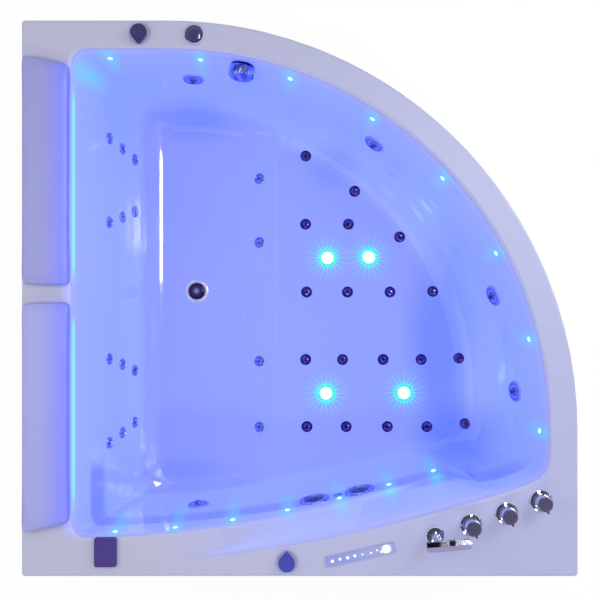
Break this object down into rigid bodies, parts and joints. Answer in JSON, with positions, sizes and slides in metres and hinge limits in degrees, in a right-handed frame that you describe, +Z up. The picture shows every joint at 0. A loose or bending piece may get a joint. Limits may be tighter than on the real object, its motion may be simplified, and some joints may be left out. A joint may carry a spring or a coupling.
{
  "type": "jetted bathtub",
  "caption": "Corner jetted bathtub with a curved front, stepped floor, armrest ledge, water and air jets, lights, pillows, taps and a hand shower.",
  "frame": {"origin": "middle of the outline on the floor under the levelling feet", "axes": "+Z up, +X from the backrest to the foot end, +Y from the armrest wall side to the curved front"},
  "size_m": [1.5, 1.5, 0.722],
  "materials": {
    "acrylic": "polished sanitary acrylic",
    "apron_panel": "polished sanitary acrylic",
    "jet_plastic": "bright",
    "jet_nozzle": "bright dark",
    "nut_plastic": "moulded",
    "rim_light": "lit",
    "floor_lens": "lit",
    "chrome": "mirror",
    "tinted_metal": "satin",
    "knob_plastic": "bright",
    "panel_glass": "dark",
    "brass": "cast",
    "pillow": "soft skin",
    "galvanised": "zinc",
    "rubber": "matt",
    "pump_plastic": "moulded",
    "motor": "satin",
    "pvc_pipe": "extruded",
    "box_plastic": "moulded"
  },
  "bodies": {
    "tub": {"tub_shell": "acrylic", "air_jets": "jet_nozzle", "small_jets": "jet_plastic", "small_lock_nuts": "nut_plastic", "side_jet_bodies": "jet_plastic", "large_lock_nuts": "nut_plastic", "suction_bodies": "jet_plastic", "suction_covers": "jet_nozzle", "suction_nuts": "nut_plastic", "level_sensor": "jet_plastic", "rim_lights": "rim_light", "floor_light_bodies": "chrome", "floor_light_lenses": "floor_lens", "drain_flange": "chrome", "overflow_body": "chrome", "regulator_bodies": "acrylic", "pump_button_bezel": "chrome", "deck_nuts": "nut_plastic", "panel_frame": "chrome", "panel_glass": "panel_glass", "tap_flanges": "chrome", "shower_holder": "chrome", "spout_plate": "tinted_metal", "mixer_valve": "brass", "spout_pipe": "pvc_pipe", "upper_pillow": "pillow", "lower_pillow": "pillow", "frame_posts": "galvanised", "base_rails": "galvanised", "floor_bearers": "galvanised", "bearer_pads": "rubber", "levelling_feet": "rubber", "front_apron": "apron_panel", "apron_brackets": "galvanised", "equipment_shelves": "galvanised", "water_pump": "pump_plastic", "pump_motor": "motor", "suction_pipe": "pvc_pipe", "pressure_pipe": "pvc_pipe", "ledge_jet_pipe": "pvc_pipe", "jet_hoses": "pvc_pipe", "air_blower": "pump_plastic", "air_pipes": "pvc_pipe", "drain_trap": "pvc_pipe", "overflow_pipe": "pvc_pipe", "control_box": "box_plastic"},
    "front_jet_nozzle_1": {"front_jet_nozzle_1": "jet_nozzle"},
    "front_jet_nozzle_2": {"front_jet_nozzle_2": "jet_nozzle"},
    "front_jet_nozzle_3": {"front_jet_nozzle_3": "jet_nozzle"},
    "front_jet_nozzle_4": {"front_jet_nozzle_4": "jet_nozzle"},
    "ledge_jet_nozzle": {"ledge_jet_nozzle": "jet_nozzle"},
    "overflow_knob": {"overflow_knob": "chrome"},
    "drain_plug": {"drain_plug": "chrome"},
    "upper_regulator_knob": {"upper_regulator_knob": "knob_plastic"},
    "lower_regulator_knob": {"lower_regulator_knob": "knob_plastic"},
    "pump_button": {"pump_button": "knob_plastic"},
    "hot_knob": {"hot_knob": "chrome"},
    "cold_knob": {"cold_knob": "chrome"},
    "diverter_knob": {"diverter_knob": "chrome"},
    "hand_shower": {"hand_shower": "chrome"}
  },
  "joints": [
    {"name": "front_jet_nozzle_1_tilt", "type": "hinge", "parent": "tub", "child": "front_jet_nozzle_1", "pos_m": [-0.30816, 0.64298, 0.40311], "axis": [0.9997, -0.0244, 0], "range_deg": [-15, 15]},
    {"name": "front_jet_nozzle_2_tilt", "type": "hinge", "parent": "tub", "child": "front_jet_nozzle_2", "pos_m": [0.21917, 0.45398, 0.40258], "axis": [0.812, -0.5836, 0], "range_deg": [-15, 15]},
    {"name": "front_jet_nozzle_3_tilt", "type": "hinge", "parent": "tub", "child": "front_jet_nozzle_3", "pos_m": [0.56754, 0.00995, 0.40234], "axis": [0.3547, -0.935, 0], "range_deg": [-15, 15]},
    {"name": "front_jet_nozzle_4_tilt", "type": "hinge", "parent": "tub", "child": "front_jet_nozzle_4", "pos_m": [0.63157, -0.26886, 0.40217], "axis": [0.0992, -0.9951, 0], "range_deg": [-15, 15]},
    {"name": "ledge_jet_nozzle_tilt", "type": "hinge", "parent": "tub", "child": "ledge_jet_nozzle", "pos_m": [-0.299, -0.61682, 0.35107], "axis": [-0.9966, -0.0829, 0], "range_deg": [-15, 15]},
    {"name": "overflow_knob_turn", "type": "hinge", "parent": "tub", "child": "overflow_knob", "pos_m": [-0.15723, 0.64283, 0.534], "axis": [-0.1714, -0.9714, 0.1646], "range_deg": [0, 90]},
    {"name": "drain_plug_lift", "type": "slide", "parent": "tub", "child": "drain_plug", "axis": [0, 0, 1], "range_m": [0, 0.009]},
    {"name": "upper_regulator_knob_turn", "type": "hinge", "parent": "tub", "child": "upper_regulator_knob", "pos_m": [-0.432, 0.7135, 0.6], "axis": [0, 0, 1], "range_deg": [-90, 90]},
    {"name": "lower_regulator_knob_turn", "type": "hinge", "parent": "tub", "child": "lower_regulator_knob", "pos_m": [-0.035, -0.7115, 0.6], "axis": [0, 0, 1], "range_deg": [-90, 90]},
    {"name": "pump_button_press", "type": "slide", "parent": "tub", "child": "pump_button", "axis": [0, 0, -1], "range_m": [0, 0.004], "stiffness_N_per_m": 500, "springref_m": -0.006},
    {"name": "diverter_knob_turn", "type": "hinge", "parent": "tub", "child": "diverter_knob", "pos_m": [0.461, -0.61084, 0.6], "axis": [0, 0, 1], "range_deg": [-90, 90]},
    {"name": "hot_knob_turn", "type": "hinge", "parent": "tub", "child": "hot_knob", "pos_m": [0.557, -0.57931, 0.6], "axis": [0, 0, 1], "range_deg": [0, 90]},
    {"name": "cold_knob_turn", "type": "hinge", "parent": "tub", "child": "cold_knob", "pos_m": [0.65, -0.54593, 0.6], "axis": [0, 0, 1], "range_deg": [-90, 0]},
    {"name": "hand_shower_lift", "type": "slide", "parent": "tub", "child": "hand_shower", "axis": [0, 0, 1], "range_m": [0, 0.15]}
  ],
  "couplings": [
    {"joint": "drain_plug_lift", "follows": "overflow_knob_turn", "m_per_rad": 0.0056659}
  ]
}
